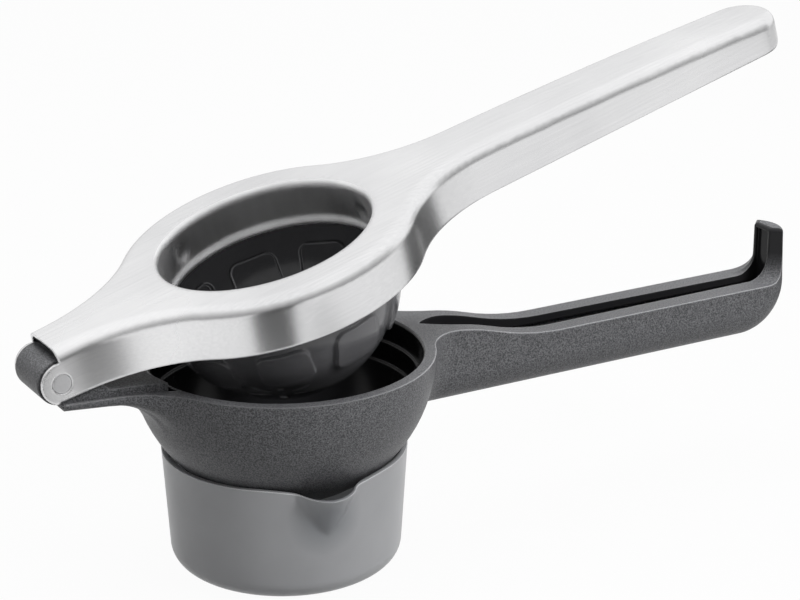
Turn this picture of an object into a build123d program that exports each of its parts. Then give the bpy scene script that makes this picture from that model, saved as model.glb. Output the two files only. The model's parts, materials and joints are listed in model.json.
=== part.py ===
import os
from math import atan2, cos, degrees, radians, sin, sqrt, tan

from build123d import *

# Hand citrus squeezer: a pressed steel lever with a press dome, hinged to a moulded arm
# whose bowl stands in a pouring cup. Lengths in millimetres, angles in degrees.
# Origin at the middle of the cup's foot, +Z up, +X from the bowl towards the two grips.

# Cup
cup_height = 35.2
cup_taper = 2.2
cup_corner_radius = 6.0
cup_wall = 1.4
cup_floor = 2.0
cup_seat_gap = 0.6
spout_turn = -97.0
spout_drop = 18.0
spout_reach = 6.2
spout_half_width = 9.4
spout_tip_radius = 1.2
spout_blend_radius = 3.5
lip_dip = 2.2
lip_half_length = 20.0

# Arm: bowl
bowl_mouth_radius = 40.0
bowl_rim_width = 3.9
bowl_rim_round = 0.8
bowl_seat_rise = 28.2
bowl_floor = 3.2
upper_ledge_drop = 7.0
lower_ledge_drop = 13.0
ledge_width = 0.9
bowl_draft = 0.5
drain_slots = 6
drain_slot_width = 3.2
drain_inner_radius = 6.5
drain_outer_radius = 19.0

# Arm: grip and hook
grip_length = 124.8
grip_half_width = 9.7
grip_depth = 17.5
grip_wall = 2.4
grip_top_drop = 6.9
grip_sweep_length = 46.0
grip_blend_share = 0.48
nose_flat = 0.5
slot_gap = 1.1
slot_root_half_width = 4.6
slot_end_half_width = 3.0
slot_root_length = 12.0
slot_depth = 12.5
slot_end_radius = 12.0
hook_face_setback = 3.2
hook_face_half_width = 3.9
hook_taper = 0.6
hook_blend_radius = 7.0
hook_edge_round = 1.2
hook_recess = 1.2
hook_slant = 45.0

# Arm: neck and knuckle
neck_length = 27.3
neck_wall = 1.2
neck_corner_radius = 2.0
neck_top_rise = 1.3
neck_end_drop = 0.9
neck_root_drop = 7.4
neck_blend_share = 0.66
moat_depth = 1.4
moat_end_width = 1.2
block_rise = 2.1
block_root = 0.5
block_flare = 3.2
block_flare_length = 18.0
block_end_gap = 1.1
hinge_rise = 6.95
knuckle_radius = 6.5
knuckle_ear_gap = 0.7
knuckle_ramp = 45.0
boss_radius = 4.6
boss_gap = 0.3

# Lever, with its heights measured from the hinge axis
rest_opening = 16.2
lever_sheet = 1.0
lever_top = 9.9
lever_edge_radius = 4.0
lever_neck_half_width = 9.7
lever_neck_flare = 45.0
lever_end_edge = 1.1
lever_root_half_width = 12.2
lever_grip_flare = 45.0
lever_droop = 4.4
skirt_gap = 0.65
hook_top_gap = 1.55
hook_side_gap = 0.3
ear_floor_gap = 1.05
ear_side_gap = 0.4
ear_block_gap = 0.5
ring_inset = 0.6
ring_band = 12.3
ring_roll_radius = 1.6
collar_depth = 14.0
collar_corner_radius = 0.8
dimple_count = 3
dimple_radius = 7.0
dimple_depth = 0.9
dimple_drop = 8.0

# Press dome
dome_drop = 15.4
dome_wall = 2.2
dome_sleeve_wall = 1.75
dome_sleeve_height = 9.7
dome_fit = 0.15
dome_seat_gap = 0.3
dome_flange_width = 2.5
dome_flange_foot = 0.5
dome_flange_slope = 2.0
dome_flange_edge = 1.5
pad_count = 9
pad_width = 14.5
pad_height = 12.2
pad_tilt = 21.0
pad_draft = 14.0
pad_corner_radius = 3.0
pad_rise = 1.1

# Hinge pin
pin_radius = 2.75
pin_running_gap = 0.06
pin_ear_gap = 0.02
pin_end_recess = 0.1
pin_end_round = 0.35

# How far cuts run past a face, and how edges are recognised
cut_overrun = 6.0
edge_tolerance = 0.01
edge_sample_shares = (0.2, 0.5, 0.8)

# Places and sizes that follow from the sizes above
bowl_radius = bowl_mouth_radius + bowl_rim_width
rim_height = cup_height + bowl_seat_rise
cup_rim_radius = sqrt(bowl_radius**2 - bowl_seat_rise**2) + cup_seat_gap + cup_wall
hinge_reach = bowl_radius + neck_length
hinge_height = rim_height + hinge_rise
neck_half_width = lever_neck_half_width + ear_side_gap + neck_wall
neck_top = rim_height + neck_top_rise
block_half_width = lever_neck_half_width - lever_sheet - ear_block_gap
block_end_radius = bowl_radius - block_end_gap
pocket_half_width = neck_half_width - neck_wall
pocket_end_radius = block_end_radius - moat_end_width
nose_reach = bowl_radius + grip_length
grip_top = rim_height - grip_top_drop
grip_underside = grip_top - grip_depth
bend_height = grip_top - nose_flat
bend_radius = grip_depth - nose_flat
bend_reach = nose_reach + grip_half_width - bend_radius
slot_start = bowl_radius + slot_gap
hook_face = nose_reach + hook_face_setback
hook_height = hinge_height + lever_top - lever_sheet - lever_droop - hook_top_gap
arm_roof = hook_height + cut_overrun
lever_place = Pos(-hinge_reach, 0, hinge_height) * Rot(0, -rest_opening, 0)
lever_reach = hinge_reach + nose_reach
lever_end_radius = grip_half_width + hook_side_gap + lever_sheet
lever_skirt = hinge_rise - neck_top_rise - skirt_gap
ear_radius = hinge_rise - neck_top_rise + moat_depth - ear_floor_gap
ring_radius = bowl_radius - ring_inset
ring_hole_radius = ring_radius - ring_band
collar_radius = ring_hole_radius + lever_sheet
collar_bottom = lever_top - collar_depth
dimple_centre = collar_radius + dimple_depth - dimple_radius
dome_radius = collar_radius + dome_fit + dome_sleeve_wall


def side_face(*edges):
    """Closed outline in the upright middle plane, given as edges in X and Z."""
    outline = Curve() + list(edges)
    return make_face((Plane.XZ * outline).edges())


def cross_face(reach, *edges):
    """Closed outline across the arm at one reach, given as edges in Y and Z."""
    outline = Curve() + list(edges)
    return make_face((Plane.YZ.offset(reach) * outline).edges())


def post(radius, low, high, x=0.0):
    """Upright cylinder between two heights."""
    return Pos(x, 0, low) * Cylinder(radius, high - low, align=(Align.CENTER, Align.CENTER, Align.MIN))


def axle(radius, half_length):
    """Cylinder along the hinge axis."""
    return Rot(90, 0, 0) * Cylinder(radius, 2 * half_length)


def spout_beak(inset):
    """Slanting cone that pushes the cup's wall out into a spout."""
    low = cup_height - spout_drop
    stretch = (spout_drop + cut_overrun) / spout_drop
    tip_reach = cup_rim_radius - cup_taper - cup_wall
    rim_reach = cup_rim_radius + spout_reach - spout_half_width
    mouth_reach = tip_reach + (rim_reach - tip_reach) * stretch
    mouth_radius = spout_tip_radius + (spout_half_width - spout_tip_radius) * stretch
    tip = Pos(tip_reach - inset, 0, low) * Rot(0, 0, 180) * Circle(spout_tip_radius)
    mouth = Pos(mouth_reach - inset, 0, cup_height + cut_overrun) * Rot(0, 0, 180) * Circle(mouth_radius)
    return Rot(0, 0, spout_turn) * loft([tip, mouth])


def cup_form(inset, low):
    """Round form of the cup with its spout blended in, drawn in by the inset and run up past the rim."""
    rim = cup_rim_radius - inset
    top = cup_height + cut_overrun
    wall = FilletPolyline((0, low), (rim - cup_taper, low), (rim, cup_height), radius=cup_corner_radius - inset)
    form = revolve(side_face(wall, Polyline((rim, cup_height), (rim, top), (0, top), (0, low))), Axis.Z)
    beak = spout_beak(inset)
    joined = form + beak

    def on_both(edge):
        points = [Vertex(edge.position_at(share)) for share in edge_sample_shares]
        return all(form.distance_to(point) + beak.distance_to(point) < edge_tolerance for point in points)

    return fillet(joined.edges().filter_by(on_both), spout_blend_radius + inset)


def lip_cuts():
    """Everything above the rim, and the wave that lowers the rim at the spout."""
    top = cup_height + 2 * cut_overrun
    reach = cup_rim_radius + spout_reach + spout_half_width
    left = (-lip_half_length, cup_height)
    right = (lip_half_length, cup_height)
    wave = Spline(left, (0, cup_height - lip_dip), right, tangents=((1, 0), (1, 0)))
    ceiling = Polyline(left, (-lip_half_length, top), (lip_half_length, top), right)
    dip = extrude(cross_face(0, ceiling, wave), reach, dir=(1, 0, 0))
    return [post(reach, cup_height, top), Rot(0, 0, spout_turn) * dip]


def juice_cup():
    return cup_form(0, 0) - cup_form(cup_wall, cup_floor) - lip_cuts()


def bowl_hollow():
    """Inside of the bowl with its two ledges, cut up through the mouth."""
    upper = rim_height - upper_ledge_drop
    lower = rim_height - lower_ledge_drop
    first = bowl_mouth_radius - bowl_draft
    second = first - ledge_width
    third = second - bowl_draft
    fourth = third - ledge_width
    bottom = rim_height - bowl_radius + bowl_floor
    walls = Polyline((0, arm_roof), (bowl_mouth_radius, arm_roof), (bowl_mouth_radius, rim_height),
                     (first, upper), (second, upper), (third, lower), (fourth, lower))
    floor = TangentArc((0, bottom), (fourth, lower), tangent=(1, 0))
    return revolve(side_face(walls, floor, Line((0, bottom), (0, arm_roof))), Axis.Z)


def drain_cuts():
    """Radial slots through the bottom of the bowl."""
    length = drain_outer_radius - drain_inner_radius
    middle = drain_inner_radius + length / 2
    slot = Pos(middle, 0, 0) * SlotOverall(length, drain_slot_width)
    cut = extrude(slot, rim_height - lower_ledge_drop)
    return [Rot(0, 0, turn * 360 / drain_slots) * cut for turn in range(drain_slots)]


def grip_bar(start, inset):
    """Round-bottomed bar that bends upright at its end, drawn in from the grip's outside by the inset."""
    half_width = grip_half_width - inset
    centre = grip_underside + grip_half_width
    keel = ThreePointArc((half_width, centre), (0, grip_underside + inset), (-half_width, centre))

    def section(reach, roof):
        walls = Polyline((-half_width, centre), (-half_width, roof), (half_width, roof), (half_width, centre))
        return cross_face(reach, walls, keel)

    straight = extrude(section(start, arm_roof), bend_reach - start, dir=(1, 0, 0))
    hinge_line = Axis((bend_reach, 0, bend_height), (0, -1, 0))
    return straight + revolve(section(bend_reach, bend_height), hinge_line, revolution_arc=90)


def grip_nose():
    """Upright end of the grip, tapering up to the hook."""
    length = nose_reach - bend_reach
    plan = Pos(bend_reach + length / 2, 0) * Rectangle(length, 2 * grip_half_width)
    plan += Pos(nose_reach, 0) * Circle(grip_half_width)
    taper = degrees(atan2(hook_taper, hook_height - grip_top))
    horn = Pos(nose_reach, 0, grip_top) * extrude(Circle(grip_half_width), arm_roof - grip_top, taper=taper)
    return Pos(0, 0, bend_height) * extrude(plan, nose_flat) + horn


def neck_section(reach, drop):
    """Section of the neck with rounded lower corners."""
    low = rim_height - drop
    trough = FilletPolyline((-neck_half_width, arm_roof), (-neck_half_width, low), (neck_half_width, low),
                            (neck_half_width, arm_roof), radius=neck_corner_radius)
    return cross_face(reach, trough, Line((neck_half_width, arm_roof), (-neck_half_width, arm_roof)))


def ball_edges(body, side):
    """Edges where the ball of the bowl meets the grip (side 1) or the neck (side -1)."""
    centre = Vector(0, 0, rim_height)

    def on_ball(edge):
        points = [edge.position_at(share) for share in edge_sample_shares]
        touches = [abs((point - centre).length - bowl_radius) < edge_tolerance for point in points]
        low = all(point.Z < arm_roof - edge_tolerance for point in points)
        return all(touches) and low and all(side * point.X > neck_half_width for point in points)

    return body.edges().filter_by(on_ball)


def arm_outside():
    """Ball of the bowl with the grip and the neck blended into it, before the top is cut."""
    ball = Pos(0, 0, rim_height) * Rot(0, 0, 90) * Sphere(bowl_radius)
    neck = loft([neck_section(-hinge_reach, neck_end_drop), neck_section(0, neck_root_drop)], ruled=True)
    front = split(ball, bisect_by=Plane.YZ, keep=Keep.TOP) + (grip_bar(0, 0) + grip_nose())
    front = fillet(ball_edges(front, 1), (bowl_radius - grip_half_width) * grip_blend_share)
    back = split(ball, bisect_by=Plane.YZ, keep=Keep.BOTTOM) + neck
    back = fillet(ball_edges(back, -1), (bowl_radius - neck_half_width) * neck_blend_share)
    return front + back


def arm_top_cut():
    """Everything above the neck, the rim, the sweep down to the grip and the hook."""
    back = -hinge_reach - cut_overrun
    front = nose_reach + grip_half_width + cut_overrun
    ceiling = rim_height + bowl_radius + cut_overrun
    sweep_end = bowl_radius + grip_sweep_length
    middle = (bowl_radius + grip_sweep_length / 2, rim_height - grip_top_drop / 2)
    first = TangentArc((bowl_radius, rim_height), middle, tangent=(1, 0))
    second = TangentArc(middle, (sweep_end, grip_top), tangent=first % 1)
    foot = (hook_face - hook_blend_radius, grip_top)
    knee = (hook_face, grip_top + hook_blend_radius)
    hook = TangentArc(foot, knee, tangent=(1, 0))
    rest = Polyline(knee, (hook_face, hook_height), (front, hook_height), (front, ceiling),
                    (back, ceiling), (back, neck_top), (-hinge_reach, neck_top),
                    (-pocket_end_radius, rim_height), (bowl_radius, rim_height))
    face = side_face(first, second, Line((sweep_end, grip_top), foot), hook, rest)
    return extrude(face, bowl_radius + cut_overrun, both=True)


def hook_cuts():
    """The two slanting faces beside the hook's front face."""
    length = 2 * grip_half_width
    foot = (-hook_blend_radius, grip_top)
    knee = (0, grip_top + hook_blend_radius)
    profile = side_face(
        Line((-length, grip_top), foot),
        TangentArc(foot, knee, tangent=(1, 0)),
        Polyline(knee, (0, arm_roof), (-length, arm_roof), (-length, grip_top)),
    )
    slab = extrude(profile, length, both=True)
    return [Pos(hook_face, side * hook_face_half_width, 0) * Rot(0, 0, -side * hook_slant) * slab
            for side in (-1, 1)]


def slot_cut():
    """Deep slot along the top of the grip that runs up the front of the hook."""
    end = hook_face + hook_recess
    wide = slot_start + slot_root_length
    floor = grip_top - slot_depth
    bow = [TangentArc((wide, side * slot_root_half_width), (slot_start, 0), tangent=(-1, 0)) for side in (-1, 1)]
    plan = make_face(bow + [Polyline((wide, slot_root_half_width), (end, slot_end_half_width),
                                     (end, -slot_end_half_width), (wide, -slot_root_half_width))])
    foot = (end - slot_end_radius, floor)
    knee = (end, floor + slot_end_radius)
    top = hook_height - hook_recess
    profile = side_face(
        Line((slot_start, floor), foot),
        TangentArc(foot, knee, tangent=(1, 0)),
        Polyline(knee, (end, top), (slot_start, top), (slot_start, floor)),
    )
    return extrude(plan, hook_height, dir=(0, 0, 1)) & extrude(profile, bowl_radius, both=True)


def grip_hollow():
    """Space inside the grip, closed over by its top wall."""
    inside = grip_bar(slot_start + slot_root_length, grip_wall)
    return split(inside, bisect_by=Plane.XY.offset(grip_top - grip_wall), keep=Keep.BOTTOM)


def neck_plan(half_width, end_radius, back):
    """Plan of the neck's block or pocket, flaring to an end that is round about the bowl."""
    tip = half_width + block_flare
    end = -sqrt(end_radius**2 - tip**2)
    start = end - block_flare_length
    flares = [TangentArc((start, side * half_width), (end, side * tip), tangent=(1, 0)) for side in (-1, 1)]
    sides = Polyline((start, half_width), (back, half_width), (back, -half_width), (start, -half_width))
    nose = ThreePointArc((end, tip), (-end_radius, 0), (end, -tip))
    return extrude(make_face(flares + [sides, nose]), arm_roof, dir=(0, 0, 1))


def neck_pocket():
    """Sunken floor along the neck, open at the hinge end."""
    back = -hinge_reach - cut_overrun
    high = neck_top - moat_depth
    low = rim_height - moat_depth
    profile = Polyline((back, high), (-hinge_reach, high), (-pocket_end_radius, low), (0, low), (0, arm_roof),
                       (back, arm_roof), close=True)
    pocket = extrude(side_face(profile), bowl_radius, both=True)
    return pocket & neck_plan(pocket_half_width, pocket_end_radius, back)


def knuckle():
    """Raised block on the neck that ramps up to the barrel around the pin."""
    top = rim_height + block_rise
    foot = rim_height - moat_depth - block_root
    across = knuckle_radius * sin(radians(knuckle_ramp))
    up = knuckle_radius * cos(radians(knuckle_ramp))
    crest = (across - hinge_reach, hinge_height + up)
    ramp_end = crest[0] + (crest[1] - top) * up / across
    heel = foot + neck_top_rise
    web = side_face(Polyline((-hinge_reach, heel), (-hinge_reach, hinge_height), crest, (ramp_end, top),
                             (0, top), (0, foot), (-pocket_end_radius, foot), close=True))
    block = extrude(web, bowl_radius, both=True) & neck_plan(block_half_width, block_end_radius, -hinge_reach)
    ear = lever_neck_half_width - lever_sheet
    barrel = axle(knuckle_radius, ear - knuckle_ear_gap) + axle(boss_radius, ear - boss_gap)
    return block + Pos(-hinge_reach, 0, hinge_height) * barrel


def lower_arm():
    arm = arm_outside() - arm_top_cut() - hook_cuts()
    arm = fillet(arm.edges().filter_by_position(Axis.Z, hook_height, hook_height), hook_edge_round)
    arm -= bowl_hollow()
    mouth = arm.edges().filter_by(GeomType.CIRCLE).filter_by_position(Axis.Z, rim_height, rim_height)
    arm = fillet(mouth.filter_by(lambda edge: edge.radius == bowl_mouth_radius), bowl_rim_round)
    arm -= grip_hollow()
    arm -= slot_cut()
    arm -= neck_pocket()
    arm += knuckle()
    arm -= Pos(-hinge_reach, 0, hinge_height) * axle(pin_radius + pin_running_gap, neck_half_width)
    return arm - drain_cuts()


def lever_plan():
    """Outline of the lever from above, in its own frame at the hinge."""
    back = -ear_radius - cut_overrun
    ring = Pos(hinge_reach, 0) * Circle(ring_radius)
    neck = make_face(Polyline((back, lever_neck_half_width), (hinge_reach, lever_neck_half_width),
                              (hinge_reach, -lever_neck_half_width), (back, -lever_neck_half_width), close=True))
    grip = make_face(Polyline((hinge_reach, lever_root_half_width), (lever_reach, lever_end_radius),
                              (lever_reach, -lever_end_radius), (hinge_reach, -lever_root_half_width), close=True))
    plan = ring + neck + grip + Pos(lever_reach, 0) * Circle(lever_end_radius)
    for x, half_width, flare in (
        (hinge_reach - ring_radius, lever_neck_half_width, lever_neck_flare),
        (hinge_reach + ring_radius, lever_root_half_width, lever_grip_flare),
    ):
        for y in (half_width, -half_width):
            corner = plan.vertices().sort_by_distance(Vector(x, y, 0))[0]
            plan = fillet(corner, flare)
    return plan


def lever_block(plan, low, top, edge_radius):
    """Solid under the lever's drooping top, with its top edges rounded."""
    back = -ear_radius - 2 * cut_overrun
    bend = hinge_reach + ring_radius
    tip = lever_reach + lever_end_radius
    end = tip + cut_overrun
    roof = top + cut_overrun
    sunk = top - lever_droop
    above = side_face(
        Line((back, top), (bend, top)),
        TangentArc((bend, top), (tip, sunk), tangent=(1, 0)),
        Polyline((tip, sunk), (end, sunk), (end, roof), (back, roof), (back, top)),
    )
    block = Pos(0, 0, low) * extrude(plan, roof - low - cut_overrun / 2)
    block -= extrude(above, ring_radius + cut_overrun, both=True)

    def rounded(edge):
        straight_across = edge.geom_type == GeomType.LINE and abs((edge % 0).Y) > abs((edge % 0).X)
        return edge.position_at(1 / 2).Z > sunk - edge_tolerance and not straight_across

    return fillet(block.edges().filter_by(rounded), edge_radius)


def collar_turn(radius, roll, corner, low, high):
    """Plug with a round lower corner that flares into the lever's top by a rolled edge."""
    bend = high - roll
    rim = radius + roll
    outline = side_face(
        Polyline((0, high), (0, low), (radius - corner, low)),
        TangentArc((radius - corner, low), (radius, low + corner), tangent=(1, 0)),
        Line((radius, low + corner), (radius, bend)),
        TangentArc((radius, bend), (rim, high), tangent=(0, 1)),
        Line((rim, high), (0, high)),
    )
    return Pos(hinge_reach, 0, 0) * revolve(outline, Axis.Z)


def dimples(radius):
    """Balls that press the collar outwards."""
    height = lever_top - dimple_drop
    return [Pos(hinge_reach, 0, 0) * Rot(0, 0, turn * 360 / dimple_count) * Pos(dimple_centre, 0, height)
            * Sphere(radius) for turn in range(dimple_count)]


def lever_shell():
    plan = lever_plan()
    inner_plan = offset(plan, -lever_sheet)
    under = lever_top - lever_sheet
    inner_low = -lever_skirt - cut_overrun
    outer_corner = collar_corner_radius + lever_sheet
    outer_roll = ring_roll_radius - lever_sheet
    shell = lever_block(plan, -lever_skirt, lever_top, lever_edge_radius)
    cavity = lever_block(inner_plan, inner_low, under, lever_edge_radius - lever_sheet)
    shell -= cavity - collar_turn(collar_radius, outer_roll, outer_corner, collar_bottom, under)
    bore = post(ring_hole_radius, inner_low, lever_top, hinge_reach)
    for bump in dimples(dimple_radius):
        shell += bump - bore
    collar_floor = collar_bottom + lever_sheet
    shell -= collar_turn(ring_hole_radius, ring_roll_radius, collar_corner_radius, collar_floor, lever_top)
    shell -= post(ring_hole_radius - collar_corner_radius, inner_low, lever_top, hinge_reach)
    for bump in dimples(dimple_radius - lever_sheet):
        shell -= bump
    back = 2 * (ear_radius + cut_overrun)
    tail = Pos(lever_end_edge - back / 2, 0, 0) * Box(back, back, back)
    shell -= tail - axle(ear_radius, back)
    return shell - axle(pin_radius + pin_ear_gap, back)


def pad_prism(turn, shrink):
    """Tapered block with rounded corners that stands out through the dome's wall."""
    across = radians(turn * 360 / pad_count)
    tilt = radians(pad_tilt)
    outward = Vector(cos(across) * cos(tilt), sin(across) * cos(tilt), -sin(tilt))
    depth = 2 * dome_wall + pad_rise
    foot = outward * (dome_radius + pad_rise - depth)
    plane = Plane(origin=foot, x_dir=(-sin(across), cos(across), 0), z_dir=outward)
    grow = depth * tan(radians(pad_draft)) - shrink
    face = RectangleRounded(pad_width + 2 * grow, pad_height + 2 * grow, pad_corner_radius + grow)
    return extrude(plane * face, depth + dome_wall, taper=pad_draft)


def press_dome():
    """Smoky dome that hangs from the lever's collar, in the frame of its own ball."""
    centre = lever_top - dome_drop
    inner = dome_radius - dome_wall
    sleeve_inner = collar_radius + dome_fit
    seat = collar_bottom - dome_seat_gap - centre
    sleeve_top = seat + dome_sleeve_height
    flange = dome_radius + dome_flange_width
    flange_low = dome_flange_foot + dome_flange_slope
    flange_top = flange_low + dome_flange_edge
    dome = revolve(side_face(
        TangentArc((0, -dome_radius), (dome_radius, 0), tangent=(1, 0)),
        Polyline((dome_radius, 0), (dome_radius, dome_flange_foot), (flange, flange_low), (flange, flange_top),
                 (dome_radius, flange_top), (dome_radius, sleeve_top), (sleeve_inner, sleeve_top),
                 (sleeve_inner, seat), (inner, seat), (inner, 0)),
        TangentArc((0, -inner), (inner, 0), tangent=(1, 0)),
        Line((0, -inner), (0, -dome_radius)),
    ), Axis.Z)
    middle = Sphere(dome_radius - dome_wall / 2)
    outer_ball = Sphere(dome_radius + pad_rise) - middle
    inner_ball = Sphere(inner + pad_rise)
    for turn in range(pad_count):
        dome += outer_ball & pad_prism(turn, 0)
        dome -= inner_ball & pad_prism(turn, pad_rise)
    dome = Pos(hinge_reach, 0, centre) * dome
    for bump in dimples(dimple_radius + dome_fit):
        dome -= bump
    return dome


def hinge_pin():
    pin = axle(pin_radius, lever_neck_half_width - pin_end_recess)
    return fillet(pin.edges().filter_by(GeomType.CIRCLE), pin_end_round)


parts = {
    "lever_shell": lever_place * lever_shell(),
    "press_dome": lever_place * press_dome(),
    "hinge_pin": lever_place * hinge_pin(),
    "lower_arm": lower_arm(),
    "juice_cup": juice_cup(),
}

os.makedirs("parts", exist_ok=True)
for name, shape in parts.items():
    export_step(shape, os.path.join("parts", name + ".step"))
    print(name, len(shape.solids()), round(shape.volume))
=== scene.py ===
import bpy
import bmesh
import json
import math
from mathutils import Matrix, Vector


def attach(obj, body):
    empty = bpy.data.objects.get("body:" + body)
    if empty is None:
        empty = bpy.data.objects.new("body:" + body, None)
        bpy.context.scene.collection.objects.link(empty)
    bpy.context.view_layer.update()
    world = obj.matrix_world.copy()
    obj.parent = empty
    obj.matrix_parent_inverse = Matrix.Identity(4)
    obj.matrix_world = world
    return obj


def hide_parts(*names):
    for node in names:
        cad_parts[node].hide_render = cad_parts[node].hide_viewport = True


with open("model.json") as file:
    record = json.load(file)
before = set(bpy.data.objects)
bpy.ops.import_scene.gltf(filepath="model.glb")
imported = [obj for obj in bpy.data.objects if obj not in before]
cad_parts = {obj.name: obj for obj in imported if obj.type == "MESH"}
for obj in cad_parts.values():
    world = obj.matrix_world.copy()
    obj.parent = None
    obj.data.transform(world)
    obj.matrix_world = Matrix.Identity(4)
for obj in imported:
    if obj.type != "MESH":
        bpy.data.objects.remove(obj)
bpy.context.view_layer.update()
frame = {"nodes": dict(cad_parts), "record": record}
print("frame loaded:", sorted(frame["nodes"]))

scene = bpy.context.scene
scene.view_settings.view_transform = "Standard"

noiseDetail = 3.0
cloudRange = (0.3, 0.7)    # where most of a noise lies
edgeSamples = 6
edgeFade = (0.75, 0.98)    # softened shading against the face: this low on an edge, this high off it


# small helpers for node trees
def newMaterial(name):
    material = bpy.data.materials.new(name)
    material.use_nodes = True
    tree = material.node_tree
    return material, tree, tree.nodes["Principled BSDF"]


def setInputs(tree, node, inputs):
    for key, value in inputs.items():
        if isinstance(value, bpy.types.NodeSocket):
            tree.links.new(value, node.inputs[key])
        else:
            node.inputs[key].default_value = value


def addNode(tree, kind, inputs=None, **settings):
    node = tree.nodes.new(kind)
    for key, value in settings.items():
        setattr(node, key, value)
    setInputs(tree, node, inputs or {})
    return node


def objectCoords(tree, scale=(1, 1, 1), turn=(0, 0, 0)):
    coords = addNode(tree, "ShaderNodeTexCoord").outputs["Object"]
    turned = addNode(tree, "ShaderNodeMapping", {"Vector": coords, "Rotation": turn}).outputs[0]
    return addNode(tree, "ShaderNodeMapping", {"Vector": turned, "Scale": scale}).outputs[0]


def axesOf(tree):
    return addNode(tree, "ShaderNodeSeparateXYZ", {"Vector": objectCoords(tree)}).outputs


def distanceFrom(tree, vector, place):
    inputs = {0: vector, 1: place}
    return addNode(tree, "ShaderNodeVectorMath", inputs, operation="DISTANCE").outputs["Value"]


def noiseOn(tree, vector, scale, roughness=0.5):
    inputs = {"Vector": vector, "Scale": scale, "Detail": noiseDetail, "Roughness": roughness}
    return addNode(tree, "ShaderNodeTexNoise", inputs).outputs["Fac"]


def spread(tree, value, low, high, start=0.0, end=1.0):
    inputs = {"Value": value, "From Min": start, "From Max": end, "To Min": low, "To Max": high}
    return addNode(tree, "ShaderNodeMapRange", inputs).outputs["Result"]


def combine(tree, operation, first, second=0.0):
    return addNode(tree, "ShaderNodeMath", {0: first, 1: second}, operation=operation).outputs[0]


def plainColour(tree, colour):
    node = addNode(tree, "ShaderNodeRGB")
    node.outputs[0].default_value = (*colour, 1.0)
    return node.outputs[0]


def blend(tree, share, first, second):
    return addNode(tree, "ShaderNodeMix", {0: share, 6: first, 7: second}, data_type="RGBA").outputs[2]


def colourRamp(tree, value, places, colours):
    ramp = addNode(tree, "ShaderNodeValToRGB", {"Fac": value})
    for element, place, colour in zip(ramp.color_ramp.elements, places, colours):
        element.position = place
        element.color = (*colour, 1.0)
    return ramp.outputs["Color"]


def bumpFrom(tree, value, strength, distance, normal):
    inputs = {"Height": value, "Strength": strength, "Distance": distance, "Normal": normal}
    return addNode(tree, "ShaderNodeBump", inputs).outputs["Normal"]


def softEdges(tree, radius):
    return addNode(tree, "ShaderNodeBevel", {"Radius": radius}, samples=edgeSamples).outputs["Normal"]


def edgeShare(tree, soft):
    face = addNode(tree, "ShaderNodeNewGeometry").outputs["Normal"]
    facing = addNode(tree, "ShaderNodeVectorMath", {0: soft, 1: face}, operation="DOT_PRODUCT")
    return spread(tree, facing.outputs["Value"], 1.0, 0.0, *edgeFade)


def dress(node, material):
    mesh = frame["nodes"][node].data
    mesh.materials.clear()
    mesh.materials.append(material)


joints = {joint["name"]: joint for joint in frame["record"]["behaviour"]["joints"]}
leverHinge = Vector(joints["lever_hinge"]["pos_m"])
leverTilt = math.radians(-joints["lever_hinge"]["range_deg"][0])   # the lever stands open by this much

# brushed along the lever, drawn up and down on the collar inside its ring
leverSteel = {
    "tilt": leverTilt,
    "light": (0.93, 0.93, 0.935),
    "dark": (0.76, 0.76, 0.77),
    "mottleStops": (0.36, 0.64),
    "cloudScale": 16.0,
    "cloudWeight": 3.0,                  # against 1 for the streaks
    "streakScale": 1800.0,
    "streakStretch": 0.02,
    "streakBreak": 0.6,
    "roughLow": 0.23,
    "roughHigh": 0.29,
    "bump": 0.05,
    "bumpDepth": 0.00002,
    "edge": 0.001,
    "rollEdge": 0.003,                   # softer where the sheet rolls into the collar
    "rollRadius": 0.036,
    "collarAxis": (0.02245, 0.0, 0.0),   # in coordinates turned level with the lever
    "collarRadius": 0.0319,
    "collarRough": 0.31,
    "collarStreaks": (70.0, 70.0, 8.0),
    "collarStops": (0.38, 0.66),
    "collarLight": (0.95, 0.95, 0.955),
    "collarDark": (0.80, 0.80, 0.805),
}


def brushedSteel(name, look):
    material, tree, shader = newMaterial(name)
    level = (0, look["tilt"], 0)
    along = objectCoords(tree, (look["streakStretch"], 1, 1), level)
    streaks = noiseOn(tree, along, look["streakScale"], look["streakBreak"])
    clouds = noiseOn(tree, objectCoords(tree), look["cloudScale"])
    weighted = combine(tree, "MULTIPLY", clouds, look["cloudWeight"])
    mottle = combine(tree, "DIVIDE", combine(tree, "ADD", weighted, streaks), look["cloudWeight"] + 1.0)
    brushed = colourRamp(tree, mottle, look["mottleStops"], (look["dark"], look["light"]))

    fromAxis = distanceFrom(tree, objectCoords(tree, (1, 1, 0), level), look["collarAxis"])
    onCollar = combine(tree, "LESS_THAN", fromAxis, look["collarRadius"])
    nearRoll = combine(tree, "LESS_THAN", fromAxis, look["rollRadius"])
    drawn = noiseOn(tree, objectCoords(tree, look["collarStreaks"], level), 1.0)
    collar = colourRamp(tree, drawn, look["collarStops"], (look["collarDark"], look["collarLight"]))

    rough = spread(tree, clouds, look["roughLow"], look["roughHigh"], *cloudRange)
    rougher = combine(tree, "MULTIPLY", onCollar, look["collarRough"] - look["roughLow"])
    edges = softEdges(tree, spread(tree, nearRoll, look["edge"], look["rollEdge"]))
    setInputs(tree, shader, {
        "Base Color": blend(tree, onCollar, brushed, collar),
        "Roughness": combine(tree, "ADD", rough, rougher),
        "Normal": bumpFrom(tree, streaks, look["bump"], look["bumpDepth"], edges),
        "Metallic": 1.0,
    })
    return material


# the lever is a copy of the CAD mesh, and a fan of cuts rounds the lower corner at its end
leverTip = {
    "radius": 0.0062,
    "cuts": 10,
    "weld": 0.000001,
    "sharpEdge": math.radians(35.0),
}


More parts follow.
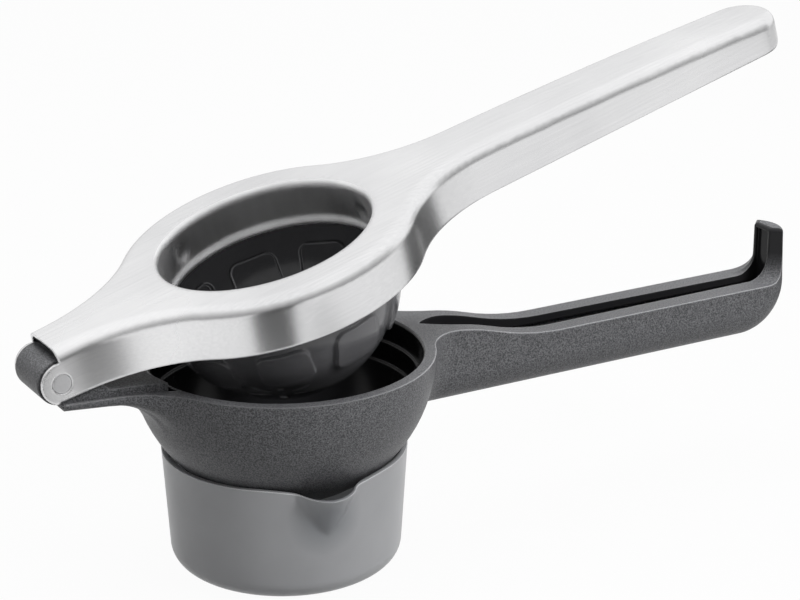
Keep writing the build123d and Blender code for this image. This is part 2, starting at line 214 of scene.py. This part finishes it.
def roundTippedLever(name, look):
    shape = bmesh.new()
    shape.from_mesh(frame["nodes"]["lever_shell"].data)
    bmesh.ops.remove_doubles(shape, verts=shape.verts, dist=look["weld"])
    along = Vector((math.cos(leverTilt), 0.0, math.sin(leverTilt)))
    up = Vector((-math.sin(leverTilt), 0.0, math.cos(leverTilt)))
    places = [vert.co - leverHinge for vert in shape.verts]
    reach = max(place.dot(along) for place in places) - look["radius"]
    skirt = min(place.dot(up) for place in places if place.dot(along) > reach)
    centre = leverHinge + along * reach + up * (skirt + look["radius"])
    for cut in range(look["cuts"]):
        turn = math.radians(90.0 * (cut + 0.5) / look["cuts"])   # the middle of each step of a quarter turn
        outward = along * math.cos(turn) - up * math.sin(turn)
        everything = shape.verts[:] + shape.edges[:] + shape.faces[:]
        bmesh.ops.bisect_plane(shape, geom=everything, plane_co=centre + outward * look["radius"],
                               plane_no=outward, clear_outer=True)
        bmesh.ops.holes_fill(shape, edges=[edge for edge in shape.edges if edge.is_boundary], sides=0)
    bmesh.ops.triangulate(shape, faces=[face for face in shape.faces if len(face.verts) > 3])
    for face in shape.faces:
        face.smooth = True
    for edge in shape.edges:
        edge.smooth = edge.calc_face_angle() < look["sharpEdge"]
    data = bpy.data.meshes.new(name)
    shape.to_mesh(data)
    shape.free()
    piece = bpy.data.objects.new(name, data)
    scene.collection.objects.link(piece)
    piece.modifiers.new("evenNormals", "WEIGHTED_NORMAL").keep_sharp = True
    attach(piece, "lever")
    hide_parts("lever_shell")
    return piece


leverSheet = roundTippedLever("lever_sheet", leverTip)
leverSheet.data.materials.append(brushedSteel("leverBrushedSteel", leverSteel))
print("lever rounded and dressed")

# the pin's steel is the lever's, duller and without its long streaks
pinSteel = {
    **leverSteel,
    "light": (0.74, 0.74, 0.75),
    "dark": (0.64, 0.64, 0.65),
    "streakScale": 900.0,
    "streakStretch": 1.0,
    "roughLow": 0.3,
    "roughHigh": 0.38,
    "edge": 0.0003,
}
dress("hinge_pin", brushedSteel("pinSteel", pinSteel))
print("pin dressed")

# the arm is grained outside and polished in its slot, on the hook's inner faces and inside the bowl; its
# outside edges carry a painted highlight
armPlastic = {
    "light": (0.135, 0.136, 0.142),
    "dark": (0.034, 0.0345, 0.037),
    "polished": (0.012, 0.012, 0.013),
    "edgeHighlight": (0.40, 0.40, 0.41),                        # painted highlight on the edges of the grip
    "bowlEdgeHighlight": (0.15, 0.15, 0.154),                   # painted highlight on the edges of the bowl and neck, dimmed as painted shade under the lever
    "edgeHighlightReach": (-0.005, 0.034),                      # where one becomes the other
    "grainScale": 2300.0,
    "grainBreak": 0.65,
    "grainStops": (0.38, 0.64),
    "grainRough": 0.4,
    "polishedRough": 0.16,
    "specular": 0.2,
    "bump": 0.6,
    "bumpDepth": 0.00014,
    "edge": 0.0008,
    "slot": (0.0449, 0.1735, 0.0437),                  # start, end, floor
    "slotTaper": (0.057, 0.1731, 0.0047, 0.0031),      # from, to, half width at each
    "slotBow": 0.01795,                                # radius of its rounded root
    "hook": (0.164, 0.0568, 0.0655, 0.0031, 0.1732),   # start, fade from, fade to, half width, face
    "bowl": ((0.0, 0.0, 0.0634), 0.0422),              # centre, radius
}


def polishedPlaces(tree, look):
    axes = axesOf(tree)
    slotStart, slotEnd, slotFloor = look["slot"]
    taperStart, taperEnd, rootHalf, endHalf = look["slotTaper"]
    hookStart, hookLow, hookHigh, hookHalf, hookFace = look["hook"]
    bowlCentre, bowlRadius = look["bowl"]

    def both(first, second):
        return combine(tree, "MULTIPLY", first, second)

    def either(first, second):
        return combine(tree, "MAXIMUM", first, second)

    def above(value, level):
        return combine(tree, "GREATER_THAN", value, level)

    def below(value, level):
        return combine(tree, "LESS_THAN", value, level)

    def minus(first, second):
        return combine(tree, "SUBTRACT", first, second)

    across = combine(tree, "ABSOLUTE", axes["Y"])
    taper = spread(tree, axes["X"], rootHalf, endHalf, taperStart, taperEnd)
    intoRoot = either(minus(taperStart, axes["X"]), 0.0)
    bow = combine(tree, "SQRT", minus(look["slotBow"] ** 2, both(intoRoot, intoRoot)))
    slotHalf = minus(taper, minus(look["slotBow"], bow))
    inSlot = both(both(above(axes["X"], slotStart), below(axes["X"], slotEnd)),
                  both(below(across, slotHalf), above(axes["Z"], slotFloor)))

    slanted = minus(axes["X"], either(minus(across, hookHalf), 0.0))
    upHook = spread(tree, axes["Z"], 0.0, 1.0, hookLow, hookHigh)
    onHook = both(both(above(axes["X"], hookStart), below(slanted, hookFace)), upHook)

    fromBowl = distanceFrom(tree, objectCoords(tree), bowlCentre)
    inBowl = both(below(fromBowl, bowlRadius), below(axes["Z"], bowlCentre[2]))
    return either(inSlot, either(onHook, inBowl))


def grainedPlastic(name, look):
    material, tree, shader = newMaterial(name)
    polished = polishedPlaces(tree, look)
    grain = noiseOn(tree, objectCoords(tree), look["grainScale"], look["grainBreak"])
    grainColour = colourRamp(tree, grain, look["grainStops"], (look["dark"], look["light"]))
    # painted highlight on the edges: bright on the grip, dimmed by painted shade towards the bowl
    onGrip = spread(tree, axesOf(tree)["X"], 0.0, 1.0, *look["edgeHighlightReach"])
    edgeHighlight = blend(tree, onGrip, plainColour(tree, look["bowlEdgeHighlight"]), plainColour(tree, look["edgeHighlight"]))
    edges = softEdges(tree, look["edge"])
    outside = blend(tree, edgeShare(tree, edges), grainColour, edgeHighlight)
    strength = spread(tree, polished, look["bump"], 0.0)
    setInputs(tree, shader, {
        "Base Color": blend(tree, polished, outside, plainColour(tree, look["polished"])),
        "Roughness": spread(tree, polished, look["grainRough"], look["polishedRough"]),
        "Normal": bumpFrom(tree, grain, strength, look["bumpDepth"], edges),
        "Specular IOR Level": look["specular"],
    })
    return material


dress("lower_arm", grainedPlastic("armGrainedPlastic", armPlastic))
print("arm dressed")

# each clear plastic is darker within a ball, a painted shade: all of the dome's inside, and the cup's wall
# below its lip; painted highlights lighten its edges
domePlastic = {
    "light": (0.25, 0.25, 0.262),
    "dark": (0.19, 0.19, 0.20),
    "paintedShade": (0.008, 0.008, 0.0085),
    "edgeHighlightInShade": (0.42, 0.42, 0.43),
    "rim": (0.25, 0.25, 0.262),
    "ball": (-0.00129, 0.0, 0.08493),
    "ballEdge": (0.0332, 0.0336),
    "cloudScale": 60.0,
    "transmission": 0.6,
    "roughness": 0.14,
    "specular": 0.3,
    "ior": 1.5,
    "edge": 0.0006,
}
cupPlastic = {
    "light": (0.385, 0.39, 0.402),
    "dark": (0.345, 0.35, 0.362),
    "paintedShade": (0.20, 0.21, 0.226),
    "edgeHighlightInShade": (0.20, 0.21, 0.226),
    "rim": (0.85, 0.855, 0.87),
    "ball": (-0.0055, -0.0385, 0.0255),
    "ballEdge": (0.004, 0.0125),
    "cloudScale": 60.0,
    "transmission": 0.35,
    "roughness": 0.3,
    "specular": 0.6,
    "ior": 1.5,
    "edge": 0.0007,
}


def clearPlastic(name, look):
    material, tree, shader = newMaterial(name)
    clouds = noiseOn(tree, objectCoords(tree), look["cloudScale"])
    wall = colourRamp(tree, clouds, cloudRange, (look["dark"], look["light"]))
    fromBall = distanceFrom(tree, objectCoords(tree), look["ball"])
    outside = spread(tree, fromBall, 0.0, 1.0, *look["ballEdge"])
    # painted shade inside the ball, the plastic's own cloudy tone outside it
    shaded = blend(tree, outside, plainColour(tree, look["paintedShade"]), wall)
    # painted highlight on the edges: light outlines on the dome's inner pads, a light line along the cup's
    # rim
    rim = blend(tree, outside, plainColour(tree, look["edgeHighlightInShade"]), plainColour(tree, look["rim"]))
    edges = softEdges(tree, look["edge"])
    setInputs(tree, shader, {
        "Base Color": blend(tree, edgeShare(tree, edges), shaded, rim),
        "Normal": edges,
        "Roughness": look["roughness"],
        "Transmission Weight": look["transmission"],
        "Specular IOR Level": look["specular"],
        "IOR": look["ior"],
    })
    return material


dress("press_dome", clearPlastic("domeSmokyPlastic", domePlastic))
dress("juice_cup", clearPlastic("cupFrostedPlastic", cupPlastic))
print("dome and cup dressed")

# studio: pale floor, soft lamps, white all round, grey cards that only the shiny faces see
studio = {
    "floorSize": 6.0,
    "floorColour": (0.26, 0.26, 0.26, 1.0),
    "floorRoughness": 0.6,
    "floorWhiteness": 0.96,               # for the camera
    "floorShine": 0.72,                   # for the shiny faces
    "shadePlace": (0.045, -0.19, 0.0),    # a patch that the shiny faces see darker
    "shadeShare": 0.45,
    "shadeEdge": (0.015, 0.07),
    "worldColour": (1.0, 1.0, 1.0, 1.0),
    "worldLight": 0.18,
}


def stageObject(name, shape, material):
    data = bpy.data.meshes.new(name)
    shape.to_mesh(data)
    shape.free()
    data.materials.append(material)
    thing = bpy.data.objects.new(name, data)
    scene.collection.objects.link(thing)
    return thing


def paleFloor(name, look):
    material, tree, shader = newMaterial(name)
    path = addNode(tree, "ShaderNodeLightPath").outputs
    seen = combine(tree, "MULTIPLY", path["Is Camera Ray"], look["floorWhiteness"])
    mirrored = combine(tree, "MULTIPLY", path["Is Glossy Ray"], look["floorShine"])
    whiteness = combine(tree, "MAXIMUM", seen, mirrored)
    fromShade = distanceFrom(tree, objectCoords(tree), look["shadePlace"])
    shade = spread(tree, fromShade, look["shadeShare"], 1.0, *look["shadeEdge"])
    light = combine(tree, "MAXIMUM", path["Is Camera Ray"], shade)
    glow = addNode(tree, "ShaderNodeEmission", {"Color": look["worldColour"], "Strength": light}).outputs[0]
    mix = addNode(tree, "ShaderNodeMixShader", {0: whiteness, 1: shader.outputs[0], 2: glow}).outputs[0]
    setInputs(tree, shader, {"Base Color": look["floorColour"], "Roughness": look["floorRoughness"]})
    setInputs(tree, tree.nodes["Material Output"], {"Surface": mix})
    return material


floorShape = bmesh.new()
bmesh.ops.create_grid(floorShape, x_segments=1, y_segments=1, size=studio["floorSize"] / 2)
stageObject("floor", floorShape, paleFloor("paleFloor", studio))

# each card is part of a round wall:
# turn from, turn to, radius, low, high, grey at its foot, grey at its top
cards = {
    "cameraCard": (-130.0, -104.0, 0.13, 0.0, 0.09, 0.10, 0.10),
    "gripCard": (-8.0, 24.0, 0.27, 0.0, 0.09, 0.08, 0.08),
    "frontCard": (-215.0, -20.0, 1.4, 0.0, 1.5, 0.24, 1.0),
    "backCard": (-20.0, 145.0, 1.4, 0.0, 0.22, 0.45, 0.8),
    "skyCard": (35.0, 115.0, 1.4, 0.22, 1.7, 0.84, 1.0),
}
cardSteps = 24


def greyCard(name, start, end, radius, low, high, footGrey, topGrey):
    shape = bmesh.new()
    turn = Matrix.Rotation(math.radians(start), 3, "Z")
    ends = [shape.verts.new(turn @ Vector((radius, 0.0, height))) for height in (low, high)]
    side = shape.edges.new(ends)
    bmesh.ops.spin(shape, geom=[*ends, side], cent=(0, 0, 0), axis=(0, 0, 1),
                   angle=math.radians(end - start), steps=cardSteps)
    material, tree = newMaterial(name)[:2]
    grey = spread(tree, axesOf(tree)["Z"], footGrey, topGrey, low, high)
    glow = addNode(tree, "ShaderNodeEmission", {"Strength": grey}).outputs[0]
    setInputs(tree, tree.nodes["Material Output"], {"Surface": glow})
    card = stageObject(name, shape, material)
    card.visible_camera = False
    card.visible_diffuse = False
    card.visible_transmission = False
    card.visible_shadow = False


for cardName, card in cards.items():
    greyCard(cardName, *card)

# the world is white to the camera and in shiny or clear faces, and dim as a light
world = bpy.data.worlds.new("studioWorld")
scene.world = world
world.use_nodes = True
worldTree = world.node_tree
path = addNode(worldTree, "ShaderNodeLightPath").outputs
straight = combine(worldTree, "MAXIMUM", path["Is Camera Ray"], path["Is Glossy Ray"])
straight = combine(worldTree, "MAXIMUM", straight, path["Is Transmission Ray"])
setInputs(worldTree, worldTree.nodes["Background"], {
    "Color": studio["worldColour"],
    "Strength": spread(worldTree, straight, studio["worldLight"], 1.0),
})

# each lamp: place, target, width and height, watts
lamps = {
    "topSoftbox": ((0.1, 0.1, 1.1), (0.04, 0.0, 0.06), (1.0, 0.8), 22.0),
    "leftSoftbox": ((-0.9, -0.5, 0.6), (0.0, 0.0, 0.07), (0.5, 0.8), 2.0),
    "rightSoftbox": ((0.55, -0.85, 0.85), (0.0, 0.0, 0.06), (0.45, 0.5), 18.0),
}


def aim(thing, place, target):
    thing.location = place
    thing.rotation_euler = (Vector(target) - Vector(place)).to_track_quat("-Z", "Y").to_euler()
    scene.collection.objects.link(thing)


def softLamp(name, place, target, size, power):
    lamp = bpy.data.lights.new(name, "AREA")
    lamp.shape = "RECTANGLE"
    lamp.size, lamp.size_y = size
    lamp.energy = power
    holder = bpy.data.objects.new(name, lamp)
    holder.visible_glossy = False
    aim(holder, place, target)


for lampName, lamp in lamps.items():
    softLamp(lampName, *lamp)
print("studio lit")

# camera at the photograph's angle
view = {
    "target": (0.03863, 0.0, 0.0718),
    "azimuth": math.radians(-30.05),
    "elevation": math.radians(19.53),
    "distance": 0.69566,
    "lens": 107.1,
    "sensor": 36.0,
}
camera = bpy.data.cameras.new("photoCamera")
camera.lens = view["lens"]
camera.sensor_fit = "HORIZONTAL"
camera.sensor_width = view["sensor"]
tripod = bpy.data.objects.new("photoCamera", camera)
flat = math.cos(view["elevation"]) * view["distance"]
height = math.sin(view["elevation"]) * view["distance"]
offset = Vector((math.sin(view["azimuth"]) * flat, -math.cos(view["azimuth"]) * flat, height))
aim(tripod, Vector(view["target"]) + offset, view["target"])
scene.camera = tripod
print("camera placed")
